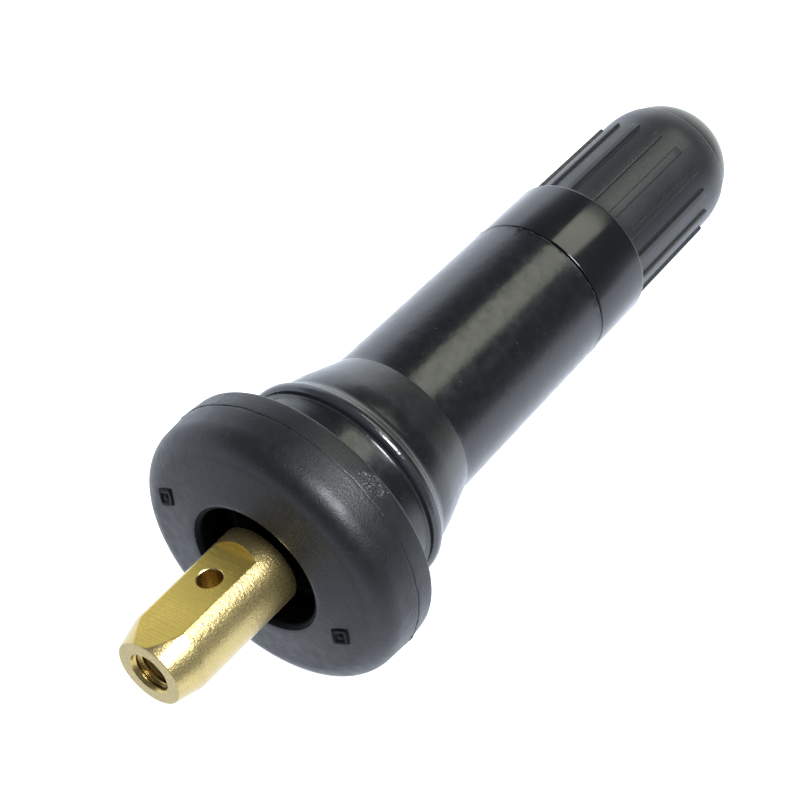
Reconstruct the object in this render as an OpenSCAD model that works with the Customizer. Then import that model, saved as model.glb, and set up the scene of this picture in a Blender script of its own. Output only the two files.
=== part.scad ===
// Snap-in tyre valve for a wheel with a pressure sensor: rubber body bonded to a brass stem,
// valve core in the stem, ribbed plastic cap on its thread.
// The valve lies along X with the cap towards +X. X = 0 is the middle of the rim groove.

/* [Rim groove] */
// Width of the groove that takes the rim's sheet
seat_w = 3.0; // [2.4:0.1:4.0]
// Diameter of the rubber neck in the groove, before it is squeezed into the rim hole
neck_d = 14.0; // [12.8:0.1:14.6]

/* [Head] */
// Diameter of the head at its parting line
head_d = 19.36; // [18.4:0.02:20.6]
// Height of the head from its back face to the lip round the recess
head_h = 5.15; // [4.6:0.05:6.0]
// Height of the parting line over the head's back face
parting_h = 1.6; // [1.2:0.1:2.2]
// How much the head's radius shrinks from the parting line to its front
front_draft = 0.08; // [0.02:0.02:0.3]
// How much the head's radius shrinks from the parting line to its back
back_draft = 0.14; // [0.02:0.02:0.3]
// Radius of the head's front edge
head_round = 1.85; // [1.2:0.05:2.2]
// Height of the middle of that front edge's round over the back face
head_round_h = 3.0; // [2.6:0.05:3.3]
// Slope of the head's face in degrees where it meets that round
face_slope = 5; // [2:0.5:8]
// Radius of the head's back edge
back_round = 0.3; // [0.1:0.05:0.6]
// Diameter of the recess round the brass
recess_d = 8.8; // [8.0:0.1:10.0]
// Depth of the recess below its lip
recess_depth = 3.05; // [2.4:0.05:3.6]
// Radius of the recess lip
recess_lip = 0.4; // [0.2:0.05:0.6]

/* [Collar, bell and barrel of the rubber] */
// Diameter of the retaining collar
collar_d = 15.0; // [14.8:0.1:16.5]
// Width of the retaining collar
collar_w = 0.8; // [0.7:0.05:1.4]
// Radius of the collar's edges
collar_round = 0.3; // [0.1:0.05:0.34]
// Diameter of the bell where it leaves the collar
bell_d = 13.8; // [13.2:0.1:14.4]
// Length of the bell
bell_len = 4.97; // [4.2:0.01:6.0]
// Radius of the bell's shoulder
bell_round = 8; // [6:0.5:12]
// Slope of the bell's side in degrees
bell_slope = 18.3; // [14:0.1:20]
// Diameter of the rubber barrel at the bell
barrel_d = 11.16; // [10.9:0.02:11.4]
// Diameter of the rubber barrel at its outer end
barrel_end_d = 10.72; // [10.4:0.02:11.2]
// Length of the rubber barrel
barrel_len = 15.45; // [13:0.05:18]
// Radius of the barrel's outer edge
barrel_round = 0.15; // [0.05:0.05:0.4]

/* [Brass stem, sensor end] */
// Diameter of the sensor end
sensor_d = 5.58; // [5.2:0.02:6.2]
// How far the sensor end stands out of the recess lip
sensor_out = 9.71; // [8.6:0.01:11]
// Diameter of the sensor end at its tip
sensor_tip_d = 4.62; // [4.6:0.02:4.9]
// Length of the taper to that tip
sensor_taper = 1.9; // [1.2:0.1:2.4]
// Distance across the two milled flats
flats_w = 4.58; // [4.4:0.02:4.8]
// Length of the flats from the tip
flats_len = 8.98; // [8:0.02:9.4]
// Diameter of the cutter that mills the flats and rounds their ends
cutter_d = 8.0; // [7.0:0.1:12]
// Diameter of the cross hole that lets the air into the tyre
cross_d = 1.6; // [1.2:0.1:2.0]
// Distance of the cross hole from the tip
cross_at = 6.26; // [6.0:0.02:7.2]
// Minor diameter of the sensor screw's thread
screw_d = 2.5; // [2.0:0.05:2.7]
// Depth of that thread
screw_depth = 4.6; // [3.6:0.1:4.7]
// Height of the drill point below that thread
screw_point = 0.42; // [0.3:0.02:0.6]
// Diameter of the chamfer at the thread's mouth
screw_mouth_d = 2.9; // [2.8:0.02:3.3]
// How far below the recess lip the relief behind the sensor end starts
relief_in = 0.55; // [0.3:0.05:0.9]
// Diameter of the relief
relief_d = 4.4; // [4.0:0.1:4.8]

/* [Brass stem, shank and cap thread] */
// Diameter of the shank inside the rubber
shank_d = 6.4; // [6.0:0.1:7.0]
// Diameter of the flange that anchors the shank in the head
flange_d = 9.4; // [8.4:0.1:10]
// Thickness of that flange
flange_w = 0.9; // [0.6:0.1:1.2]
// Outer diameter of the cap thread
thread_d = 7.6; // [7.5:0.02:7.8]
// How far the cap thread reaches into the rubber
thread_in = 1.5; // [0.8:0.1:3]
// How far the stem stands out of the rubber
thread_out = 13.18; // [12.6:0.02:13.8]
// Chamfer at the stem's mouth
mouth_chamfer = 0.6; // [0.3:0.05:0.8]

/* [Bores of the stem] */
// Diameter of the core's thread
core_d = 5.2; // [5.0:0.05:5.3]
// Length of the tapered seat below the core's thread
taper_len = 2.2; // [2.2:0.1:2.8]
// Diameter of the core chamber below the seat
chamber_d = 3.9; // [3.8:0.05:4.2]
// Depth of the core chamber below the mouth
chamber_depth = 21; // [19:0.5:24]
// Diameter of the air passage
passage_d = 2.0; // [1.6:0.1:2.2]

/* [Valve core] */
// Depth of the pin's tip below the stem's mouth
pin_sink = 0.3; // [0.1:0.05:0.6]
// Diameter of the pin
pin_d = 1.0; // [0.8:0.05:1.1]
// Diameter of the pin's tip
pin_tip_d = 1.5; // [1.2:0.05:1.7]
// Length of the pin's tip
pin_tip_len = 0.5; // [0.4:0.05:0.6]
// Travel of the pin
pin_travel = 1.5; // [1:0.1:1.8]
// Room left between the pressed pin's tip and the plug's bridge
bridge_room = 0.15; // [0.1:0.05:0.4]
// Width of the plug's bridge
bridge_w = 1.9; // [1.7:0.05:2.2]
// Length of the plug's bridge across the plug
bridge_l = 4.2; // [3.6:0.1:4.6]
// Height of the plug's bridge
bridge_h = 1.2; // [1:0.1:1.4]
// Length of the plug's thread
plug_len = 2.7; // [2.4:0.1:2.8]
// Bore of the plug
plug_bore_d = 2.6; // [2.4:0.05:2.8]
// Outer diameter of the core's barrel
tube_d = 3.1; // [3.0:0.05:3.3]
// Bore of the core's barrel
tube_bore_d = 2.3; // [2.2:0.05:2.4]
// Length of the core's barrel
tube_len = 7.8; // [7:0.1:9]
// Thickness of the barrel's bottom, which carries the spring
tube_floor = 0.8; // [0.6:0.1:1.2]
// Hole in the barrel's bottom
tube_hole_d = 1.5; // [1.35:0.05:1.7]
// Diameter of the flange at the barrel's top
tube_flange_d = 4.2; // [3.8:0.05:4.4]
// Thickness of that flange
tube_flange_w = 0.6; // [0.4:0.05:0.8]
// Length of the ring that seals the barrel in the stem
ring_len = 1.6; // [1.2:0.05:1.8]
// Outer diameter of the cup
cup_d = 3.1; // [2.9:0.05:3.3]
// Wall of the cup
cup_wall = 0.25; // [0.2:0.05:0.4]
// Depth of the cup
cup_depth = 0.8; // [0.6:0.05:1]
// How far the cup's washer stands out of the cup
cup_proud = 0.15; // [0.1:0.05:0.3]
// Diameter of the pin's collar over the spring
spring_collar_d = 1.9; // [1.85:0.01:2.1]
// Thickness of that collar
spring_collar_w = 0.5; // [0.4:0.05:0.6]
// Room left between that collar and the plug's bridge
collar_room = 0.3; // [0.2:0.05:0.5]
// Mean diameter of the spring
spring_d = 1.64; // [1.58:0.02:1.7]
// Diameter of the spring's wire
wire_d = 0.28; // [0.22:0.02:0.3]
// Turns of the spring
spring_turns = 7; // [5:1:9]

/* [Cap] */
// Diameter of the cap's plain skirt
skirt_d = 10.66; // [10.4:0.02:11.2]
// Length of the skirt
skirt_len = 5.05; // [4.4:0.05:6]
// Radius of the skirt's upper edge
skirt_round = 0.35; // [0.1:0.05:0.4]
// Diameter of the ribbed grip between the ribs, at the skirt
grip_d = 9.7; // [9.5:0.02:9.8]
// Diameter of the ribs at the skirt
rib_d = 10.06; // [9.9:0.02:10.2]
// Width of a rib
rib_w = 0.55; // [0.35:0.05:0.8]
// Number of ribs
rib_count = 17; // [12:1:24]
// Angle of the first rib in degrees
rib_turn = 2.5; // [0:0.5:20]
// Length of the ribs
rib_len = 8.4; // [7.6:0.1:9]
// How much the grip's radius shrinks over the ribs
grip_draft = 0.1; // [0.02:0.02:0.2]
// Length of the plain band between the ribs and the shoulder
band_len = 0.93; // [0.6:0.01:1.4]
// Radius of the rounded shoulder
shoulder_r = 5.0; // [4.0:0.1:7.0]
// Length of the shoulder along the cap
shoulder_len = 1.64; // [1.2:0.02:1.9]
// Depth of the step from the shoulder to the dome
step_in = 0.08; // [0.02:0.02:0.14]
// Height of the dome over that step
dome_h = 3.56; // [3.2:0.02:4.0]
// Diameter of the flat disc that the moulding gate leaves on the dome
gate_d = 2.8; // [1.6:0.1:3.4]
// How far that disc stands over the dome's top
gate_out = 0.06; // [0.02:0.02:0.2]
// Diameter of the relief inside the skirt
relief_bore_d = 8.4; // [8.1:0.1:8.8]
// Length of the thread that holds the cap
hold_len = 9.5; // [8.6:0.1:10]
// Thickness of the cap's sealing washer
washer_w = 1.0; // [0.8:0.1:1.3]
// Hole of the sealing washer
washer_hole_d = 3.6; // [3:0.1:4.4]
// Diameter of the hollow over the washer
hollow_d = 5.4; // [5:0.1:5.8]
// Depth of the hollow over the washer
hollow_len = 2.6; // [2:0.1:3]

/* [Fits] */
// Radial clearance of the cap thread, and of the pin in its bridge
run_gap = 0.06; // [0.03:0.01:0.09]
// Gap between the rubber's end and the cap
cap_gap = 0.1; // [0.05:0.05:0.3]
// Gap between a seal at rest and the metal that it closes on
seal_gap = 0.03; // [0.02:0.01:0.05]

/* [Hidden] */
$fn = 96;
// How far a cutter reaches past the face that it cuts
past = 1;

// Stations along the valve, from the sensor end to the cap
head_back = -seat_w / 2;
head_lip = head_back - head_h;
parting = head_back - parting_h;
recess_floor = head_lip + recess_depth;
sensor_end = head_lip - sensor_out;
collar_front = seat_w / 2;
collar_back = collar_front + collar_w;
crease = collar_back + bell_len;
rubber_end = crease + barrel_len;
mouth = rubber_end + thread_out;
cross_x = sensor_end + cross_at;

pin_top = mouth - pin_sink;
pin_neck = pin_top - pin_tip_len - (pin_tip_d - pin_d) / 2;
bridge_top = pin_neck - pin_travel - bridge_room;
plug_top = bridge_top - bridge_h;
tube_top = plug_top - plug_len;
tube_end = tube_top - tube_len;
ring_top = tube_top - tube_flange_w;
taper_top = tube_top;
spring_foot = tube_end + tube_floor;
collar_foot = plug_top - collar_room - spring_collar_w;
washer_face = tube_end - seal_gap;
cup_top = washer_face - cup_proud;
cup_floor = cup_top - cup_depth;
cup_base = cup_floor - cup_wall;

cap_foot = rubber_end + cap_gap;
skirt_top = cap_foot + skirt_len;
rib_top = skirt_top + rib_len;
shoulder_from = rib_top + band_len;
dome_from = shoulder_from + shoulder_len;
dome_top = dome_from + dome_h;
hold_foot = mouth - hold_len;
cap_seal_foot = mouth + seal_gap;
hold_top = cap_seal_foot + washer_w;

// Radius of the core's tapered seat at station a
function taper_r(a) = core_d / 2 - (taper_top - a) / taper_len * (core_d - chamber_d) / 2;

// Points of an arc with centre c and radius r, between two angles in degrees
function arc(c, r, from, to, n = 8) =
  [for (i = [0:n]) c + r * [cos(from + (to - from) * i / n), sin(from + (to - from) * i / n)]];

// Revolves a half profile of (station, radius) points about the valve's axis
module spin() {
  rotate([0, 90, 0])
    rotate_extrude()
      rotate(90)
        mirror([0, 1])
          children();
}

// Round bar between two stations
module bar(from, to, d) {
  spin()
    translate([from, 0])
      square([to - from, d / 2]);
}

// Outer half profile of the rubber, with the recess round the brass left open
module rubber_outline() {
  front_r = head_d / 2 - front_draft;
  back_r = head_d / 2 - back_draft;
  fall = bell_slope;
  bell_c = [collar_back, bell_d / 2 - bell_round];
  bell_from = bell_c + bell_round * [sin(fall), cos(fall)];
  bell_end_r = bell_from[1] - (crease - bell_from[0]) * tan(fall);
  polygon(concat(
    [[recess_floor, 0], [recess_floor, recess_d / 2]],
    arc([head_lip + recess_lip, recess_d / 2 + recess_lip], recess_lip, 270, 180, 6),
    arc([head_back - head_round_h, front_r - head_round], head_round, 180 - face_slope, 90, 12),
    [[parting, head_d / 2]],
    arc([head_back - back_round, back_r - back_round], back_round, 90, 0, 4),
    [[head_back, neck_d / 2], [collar_front, neck_d / 2]],
    arc([collar_front + collar_round, collar_d / 2 - collar_round], collar_round, 180, 90, 4),
    arc([collar_back - collar_round, collar_d / 2 - collar_round], collar_round, 90, 0, 4),
    arc(bell_c, bell_round, 90, 90 - fall, 8),
    [[crease, bell_end_r], [crease, barrel_d / 2]],
    arc([rubber_end - barrel_round, barrel_end_d / 2 - barrel_round], barrel_round, 90, 0, 4),
    [[rubber_end, 0]]
  ));
}

// Outer half profile of the stem as it is turned, before the flats are milled
module stem_outline() {
  flange_from = recess_floor + flange_w;
  polygon([
    [sensor_end, 0],
    [sensor_end, sensor_tip_d / 2],
    [sensor_end + sensor_taper, sensor_d / 2],
    [head_lip + relief_in, sensor_d / 2],
    [head_lip + relief_in, relief_d / 2],
    [recess_floor, relief_d / 2],
    [recess_floor, shank_d / 2],
    [flange_from, shank_d / 2],
    [flange_from, flange_d / 2],
    [flange_from + flange_w, flange_d / 2],
    [flange_from + flange_w, shank_d / 2],
    [rubber_end - thread_in, shank_d / 2],
    [rubber_end - thread_in, thread_d / 2],
    [mouth - mouth_chamfer, thread_d / 2],
    [mouth, thread_d / 2 - mouth_chamfer],
    [mouth, 0]
  ]);
}

// Half profile of the bore that takes the core, with the air passage to the cross hole
module core_bore() {
  polygon([
    [cross_x, 0],
    [cross_x, passage_d / 2],
    [mouth - chamber_depth - (chamber_d - passage_d) / 2, passage_d / 2],
    [mouth - chamber_depth, chamber_d / 2],
    [taper_top - taper_len, chamber_d / 2],
    [taper_top, core_d / 2],
    [mouth, core_d / 2],
    [mouth, 0]
  ]);
}

// Half profile of the sensor screw's hole: chamfer, thread and drill point
module screw_bore() {
  chamfer = (screw_mouth_d - screw_d) / 2;
  polygon([
    [sensor_end, 0],
    [sensor_end, screw_mouth_d / 2],
    [sensor_end + chamfer, screw_d / 2],
    [sensor_end + screw_depth, screw_d / 2],
    [sensor_end + screw_depth + screw_point, 0]
  ]);
}

// Rubber moulded round the stem
module rubber_body() {
  color([0.13, 0.13, 0.14])
    spin()
      difference() {
        rubber_outline();
        stem_outline();
      }
}

// Room that the cutter sweeps over one flat, in from the tip
module flat_cut() {
  translate([sensor_end, 0, flats_w / 2])
    linear_extrude(sensor_d) {
      translate([-past, -cutter_d / 2])
        square([flats_len - cutter_d / 2 + past, cutter_d]);
      translate([flats_len - cutter_d / 2, 0])
        circle(d = cutter_d);
    }
}

// Brass stem: turned outline and bores, two milled flats and the cross hole
module stem() {
  color([0.80, 0.68, 0.36])
    difference() {
      spin()
        difference() {
          stem_outline();
          core_bore();
          screw_bore();
        }
      for (side = [0, 1])
        mirror([0, 0, side])
          flat_cut();
      translate([cross_x, 0, 0])
        cylinder(d = cross_d, h = 2 * sensor_d, center = true);
    }
}

// Threaded plug with the bridge that the core tool grips
module core_plug() {
  color([0.78, 0.66, 0.35])
    difference() {
      union() {
        spin()
          polygon([
            [tube_top, plug_bore_d / 2],
            [tube_top, core_d / 2],
            [plug_top, core_d / 2],
            [plug_top, plug_bore_d / 2]
          ]);
        intersection() {
          bar(plug_top, bridge_top, bridge_l);
          translate([plug_top - past, -bridge_l, -bridge_w / 2])
            cube([bridge_h + 2 * past, 2 * bridge_l, bridge_w]);
        }
      }
      bar(plug_top - past, bridge_top + past, pin_d + 2 * run_gap);
    }
}

// Barrel of the core: flange, groove for the seal, tube and the floor that carries the spring
module core_barrel() {
  color([0.82, 0.70, 0.40])
    spin()
      polygon([
        [tube_end, tube_hole_d / 2],
        [tube_end, tube_d / 2],
        [tube_top - tube_flange_w, tube_d / 2],
        [tube_top - tube_flange_w, tube_flange_d / 2],
        [tube_top, tube_flange_d / 2],
        [tube_top, tube_bore_d / 2],
        [spring_foot, tube_bore_d / 2],
        [spring_foot, tube_hole_d / 2]
      ]);
}

// Soft ring that closes the barrel against the stem's tapered seat
module barrel_seal() {
  color([0.75, 0.20, 0.16])
    spin()
      polygon([
        [ring_top - ring_len, tube_d / 2],
        [ring_top - ring_len, taper_r(ring_top - ring_len)],
        [ring_top, taper_r(ring_top)],
        [ring_top, tube_d / 2]
      ]);
}

// Coil spring round the pin, swept as a tube with a ring of points at each step of the helix
module core_spring() {
  sides = 8;
  steps = 14 * spring_turns;
  from = spring_foot + wire_d / 2 + seal_gap;
  to = collar_foot - wire_d / 2 - seal_gap;
  points = [
    for (i = [0:steps], k = [0:sides - 1])
      let (
        turn = 360 * spring_turns * i / steps,
        rad = spring_d / 2 + wire_d / 2 * cos(360 * k / sides),
        a = from + (to - from) * i / steps + wire_d / 2 * sin(360 * k / sides)
      )
        [a, rad * cos(turn), rad * sin(turn)]
  ];
  walls = [
    for (i = [0:steps - 1], k = [0:sides - 1])
      let (n = (k + 1) % sides)
        [i * sides + k, i * sides + n, (i + 1) * sides + n, (i + 1) * sides + k]
  ];
  foot = [for (k = [0:sides - 1]) sides - 1 - k];
  top = [for (k = [0:sides - 1]) steps * sides + k];
  color([0.70, 0.71, 0.73])
    polyhedron(points, concat([foot], walls, [top]), convexity = 10);
}

// Pin with its tip, the collar over the spring and the rivet under the cup
module core_pin() {
  tip_chamfer = pin_d / 4;
  color([0.74, 0.75, 0.77])
    spin()
      polygon([
        [cup_base - cup_wall, 0],
        [cup_base - cup_wall, pin_d / 2 + cup_wall],
        [cup_base, pin_d / 2 + cup_wall],
        [cup_base, pin_d / 2],
        [collar_foot, pin_d / 2],
        [collar_foot, spring_collar_d / 2],
        [collar_foot + spring_collar_w, spring_collar_d / 2],
        [collar_foot + spring_collar_w, pin_d / 2],
        [pin_neck, pin_d / 2],
        [pin_top - pin_tip_len, pin_tip_d / 2],
        [pin_top - tip_chamfer, pin_tip_d / 2],
        [pin_top, pin_tip_d / 2 - tip_chamfer],
        [pin_top, 0]
      ]);
}

// Cup on the pin's lower end
module core_cup() {
  color([0.80, 0.68, 0.38])
    spin()
      polygon([
        [cup_base, pin_d / 2],
        [cup_base, cup_d / 2],
        [cup_top, cup_d / 2],
        [cup_top, cup_d / 2 - cup_wall],
        [cup_floor, cup_d / 2 - cup_wall],
        [cup_floor, pin_d / 2]
      ]);
}

// Rubber washer in the cup, which closes on the barrel's end
module cup_seal() {
  color([0.10, 0.10, 0.11])
    spin()
      translate([cup_floor, pin_d / 2])
        square([washer_face - cup_floor, (cup_d - pin_d) / 2 - cup_wall]);
}

// Washer in the cap, which closes on the stem's mouth
module cap_seal() {
  color([0.16, 0.16, 0.17])
    spin()
      translate([cap_seal_foot, washer_hole_d / 2])
        square([washer_w, thread_d / 2 + run_gap - seal_gap - washer_hole_d / 2]);
}

// Outer half profile of the cap without its ribs: skirt, tapered grip, shoulder, and a dome with its disc
module cap_outline() {
  grip_end = grip_d / 2 - grip_draft;
  shoulder_turn = asin(shoulder_len / shoulder_r);
  foot_r = grip_end - shoulder_r * (1 - cos(shoulder_turn)) - step_in;
  dome_r = (foot_r * foot_r + dome_h * dome_h) / (2 * dome_h);
  gate_top = dome_top + gate_out;
  polygon(concat(
    [[cap_foot, 0], [cap_foot, skirt_d / 2]],
    arc([skirt_top - skirt_round, skirt_d / 2 - skirt_round], skirt_round, 90, 0, 5),
    [[skirt_top, grip_d / 2], [rib_top, grip_end]],
    arc([shoulder_from, grip_end - shoulder_r], shoulder_r, 90, 90 - shoulder_turn, 4),
    arc([dome_top - dome_r, 0], dome_r, asin(foot_r / dome_r), asin(gate_d / 2 / dome_r), 10),
    [[gate_top, gate_d / 2], [gate_top, 0]]
  ));
}

// Half profile of the cap's inside: relief in the skirt, thread, and a hollow over the washer
module cap_inside() {
  hold_r = thread_d / 2 + run_gap;
  polygon([
    [cap_foot, 0],
    [cap_foot, relief_bore_d / 2],
    [hold_foot, relief_bore_d / 2],
    [hold_foot, hold_r],
    [hold_top, hold_r],
    [hold_top, hollow_d / 2],
    [hold_top + hollow_len / 2, hollow_d / 2],
    [hold_top + hollow_len, hollow_d / 4],
    [hold_top + hollow_len, 0]
  ]);
}

// Cap: a turned shell, and ribs that start inside its wall
module cap_shell() {
  rib_root = grip_d / 2 - 2 * grip_draft;
  color([0.17, 0.17, 0.18]) {
    spin()
      difference() {
        cap_outline();
        cap_inside();
      }
    intersection() {
      spin()
        polygon([
          [skirt_top, rib_root],
          [skirt_top, rib_d / 2],
          [rib_top, rib_d / 2 - grip_draft],
          [rib_top, rib_root]
        ]);
      for (i = [0:rib_count - 1])
        rotate([rib_turn + 360 * i / rib_count, 0, 0])
          translate([skirt_top, 0, -rib_w / 2])
            cube([rib_len, rib_d, rib_w]);
    }
  }
}

rubber_body();
stem();
core_plug();
core_barrel();
barrel_seal();
core_spring();
core_pin();
core_cup();
cup_seal();
cap_seal();
cap_shell();
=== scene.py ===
# %% [markdown]
# # A snap-in tyre valve
# A rubber valve for a wheel with a pressure sensor. Brass comes out of the rubber head, where the
# sensor is screwed on, and a ribbed plastic cap closes the other end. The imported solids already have
# the right sizes and joints. This lesson gives them the skin of the real thing: moulded rubber with
# its flash, turned and milled brass with threads, and satin plastic. Sizes of the valve are in
# millimetres and its named turns in degrees, and MM takes a size to Blender's metres. The floor's size
# and the lights are in metres.

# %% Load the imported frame
import math

import bmesh
import bpy
import numpy as np
from mathutils import Matrix, Vector


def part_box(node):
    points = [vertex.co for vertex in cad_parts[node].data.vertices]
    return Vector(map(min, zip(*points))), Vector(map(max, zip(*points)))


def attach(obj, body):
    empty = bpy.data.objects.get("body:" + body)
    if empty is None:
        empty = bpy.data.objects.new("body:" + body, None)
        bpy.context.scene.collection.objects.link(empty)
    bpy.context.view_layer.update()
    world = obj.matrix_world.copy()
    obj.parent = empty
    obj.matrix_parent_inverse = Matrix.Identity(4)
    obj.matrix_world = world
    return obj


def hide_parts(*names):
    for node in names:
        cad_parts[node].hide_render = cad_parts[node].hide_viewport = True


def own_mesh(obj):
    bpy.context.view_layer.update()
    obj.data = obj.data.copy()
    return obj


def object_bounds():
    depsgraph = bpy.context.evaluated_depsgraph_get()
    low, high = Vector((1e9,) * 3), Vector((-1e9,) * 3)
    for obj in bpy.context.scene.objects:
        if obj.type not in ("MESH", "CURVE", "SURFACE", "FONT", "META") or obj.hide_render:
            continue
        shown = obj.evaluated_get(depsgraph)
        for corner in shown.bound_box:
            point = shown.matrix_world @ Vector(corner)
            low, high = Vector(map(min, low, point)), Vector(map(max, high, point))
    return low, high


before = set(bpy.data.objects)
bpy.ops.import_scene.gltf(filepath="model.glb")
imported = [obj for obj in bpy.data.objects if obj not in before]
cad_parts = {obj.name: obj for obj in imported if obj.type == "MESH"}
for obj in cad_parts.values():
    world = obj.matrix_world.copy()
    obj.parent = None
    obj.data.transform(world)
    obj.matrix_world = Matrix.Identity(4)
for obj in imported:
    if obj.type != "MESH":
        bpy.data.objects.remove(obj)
cad_low, cad_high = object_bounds()
MM = 0.001
print("nodes in the frame:", sorted(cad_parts))

# %% [markdown]
# ## The camera
# The valve lies along X. The photograph looks down on it from the sensor's side with a long lens, a
# little rolled. A camera matrix says all of that at once: its columns are the picture's right, the
# picture's up, and the way back to the lens.

# %% Camera
CAMERA_AT = Vector((-76.656, -86.673, 101.487))
CAMERA_LOOK = Vector((0.5411, 0.5518, -0.6346))
CAMERA_RIGHT = Vector((0.6018, -0.7812, -0.1660))
LENS_MM = 112.5

look = CAMERA_LOOK.normalized()
right = (CAMERA_RIGHT - look * CAMERA_RIGHT.dot(look)).normalized()
turned = Matrix((right, right.cross(look), -look)).transposed().to_4x4()
camera = bpy.data.objects.new("camera", bpy.data.cameras.new("camera"))
camera.data.lens = LENS_MM
camera.data.clip_start = 1 * MM
camera.matrix_world = Matrix.Translation(CAMERA_AT * MM) @ turned
bpy.context.scene.collection.objects.link(camera)
bpy.context.scene.camera = camera
print("camera at", [round(c, 1) for c in CAMERA_AT], "mm")

# %% [markdown]
# ## From a grid of points to a piece
# Almost every piece here was turned on a lathe or moulded in a round cavity, so one idea carries the
# lesson: a profile of stations along X and radii, carried round the axis, is a grid of points. Rows are
# the points of the profile, columns are the angles. Neighbours in the grid make four-sided faces, and
# the last column joins the first. Rows that shrink to the axis are merged into a pole.

# %% Grids of points and their faces


def spin_grid(station, radius, angle):
    """Point (i, j) lies at its station along X and at its radius from the axis, turned by its angle."""
    station, radius, angle = np.broadcast_arrays(station, radius, angle)
    return np.stack([station, radius * np.cos(angle), radius * np.sin(angle)], axis=-1)


def grid_faces(index, close_rows=False):
    """Four-sided faces between neighbours of a grid of point numbers, whose columns close on themselves."""
    after = np.roll(index, -1, axis=1)
    faces = np.stack([index[:-1], after[:-1], after[1:], index[1:]], axis=-1)
    if close_rows:
        seam = np.stack([index[-1], after[-1], after[0], index[0]], axis=-1)
        faces = np.concatenate([faces, seam[None]])
    return faces


def numbered(grid):
    """The point numbers of a grid, in the grid's own rows and columns."""
    return np.arange(grid.shape[0] * grid.shape[1]).reshape(grid.shape[:2])


# %% [markdown]
# ## Profiles
# A drawing of a turned part is a list of corners, each with its rounding. The arc in a corner touches
# both sides: it starts and ends at rounding / tan(half the corner's angle) from the corner, and its
# centre lies on the bisector. Long straight stretches are then divided, so that shading and uneven
# edges have points to work with.

# %% Corners, arcs and steps


def soften(corners, steps=6):
    """A profile through corners of (station, radius, rounding), where an arc of that rounding cuts each."""
    corners = np.asarray(corners, float)
    point, rounding = corners[1:-1, :2], corners[1:-1, 2:]
    back = corners[:-2, :2] - point
    ahead = corners[2:, :2] - point
    back /= np.linalg.norm(back, axis=1, keepdims=True)
    ahead /= np.linalg.norm(ahead, axis=1, keepdims=True)
    half = np.arccos(np.clip((back * ahead).sum(1, keepdims=True), -1, 1)) / 2
    middle = back + ahead
    middle /= np.maximum(np.linalg.norm(middle, axis=1, keepdims=True), 1e-9)
    centre = point + middle * rounding / np.sin(half)
    start = point + back * rounding / np.tan(half) - centre
    stop = point + ahead * rounding / np.tan(half) - centre
    turn = np.maximum(np.pi - 2 * half, 1e-6)
    share = np.linspace(0, 1, steps + 1)[None, :, None]
    turn = turn[:, None, :]
    spokes = np.sin((1 - share) * turn) * start[:, None] + np.sin(share * turn) * stop[:, None]
    arcs = (centre[:, None] + spokes / np.sin(turn)).reshape(-1, 2)
    path = np.vstack([corners[:1, :2], arcs, corners[-1:, :2]])
    apart = np.linalg.norm(np.diff(path, axis=0), axis=1) > 1e-6
    return path[np.concatenate([[True], apart])]


def arc(centre, radius, start, stop, steps):
    """Points of a circle about centre, from one angle to another in degrees."""
    turn = np.radians(np.linspace(start, stop, steps + 1))
    return np.column_stack([centre[0] + radius * np.cos(turn), centre[1] + radius * np.sin(turn)])


def divide(path, step):
    """The same path with points added, so that neighbours lie no further apart than step."""
    gap = np.linalg.norm(np.diff(path, axis=0), axis=1)
    parts = np.maximum(1, np.ceil(gap / step - 1e-6)).astype(int)
    along = np.concatenate([k + np.arange(n) / n for k, n in enumerate(parts)] + [[len(parts)]])
    knots = np.arange(len(path))
    return np.column_stack([np.interp(along, knots, path[:, k]) for k in (0, 1)])


def even_turn(columns):
    """Angles of evenly spaced columns round the axis."""
    return np.linspace(0, 2 * np.pi, columns, endpoint=False)


# %% [markdown]
# ## Making the mesh
# The points become one mesh in metres. Doubles at the poles are merged and the faces are turned
# outwards. Faces that meet at more than the crease angle keep a hard edge, and the rest is smooth.

# %% Mesh maker
SAME_POINT = 2e-4


def make_piece(name, points, faces, body, finish, stands_for=(), crease=30, soft_where=None):
    """A mesh piece on a body, with its finish; edges that the test soft_where accepts are never hard."""
    mesh = bpy.data.meshes.new(name)
    mesh.from_pydata((points.reshape(-1, 3) * MM).tolist(), [], faces.reshape(-1, 4).tolist())
    work = bmesh.new()
    work.from_mesh(mesh)
    bmesh.ops.remove_doubles(work, verts=work.verts, dist=SAME_POINT * MM)
    loose = [v for v in work.verts if not v.link_faces]
    bmesh.ops.delete(work, geom=loose, context="VERTS")
    bmesh.ops.recalc_face_normals(work, faces=work.faces)
    work.to_mesh(mesh)
    work.free()
    mesh.shade_smooth()
    mesh.set_sharp_from_angle(angle=math.radians(crease))
    if soft_where is not None:
        soften_edges(mesh, soft_where)
    piece = bpy.data.objects.new(name, mesh)
    bpy.context.scene.collection.objects.link(piece)
    mesh.materials.append(finish)
    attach(piece, body)
    if stands_for:
        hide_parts(*stands_for)
    print(f"{name}: {len(mesh.vertices)} points, {len(mesh.polygons)} faces")
    return piece


def soften_edges(mesh, soft):
    """Takes the hard mark off each edge whose two ends the test soft(points in mm) accepts."""
    place = np.empty(len(mesh.vertices) * 3)
    mesh.vertices.foreach_get("co", place)
    ends = np.empty(len(mesh.edges) * 2, int)
    mesh.edges.foreach_get("vertices", ends)
    inside = soft(place.reshape(-1, 3) / MM)[ends.reshape(-1, 2)].all(axis=1)
    marks = mesh.attributes["sharp_edge"]
    hard = np.empty(len(mesh.edges), bool)
    marks.data.foreach_get("value", hard)
    marks.data.foreach_set("value", hard & ~inside)


# %% [markdown]
# A real piece can have more than one finish: a cap has a glossy skirt and a dull grip. The faces of a
# region get a finish of their own, picked by where their middles lie.

# %% Finish of a region


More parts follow.
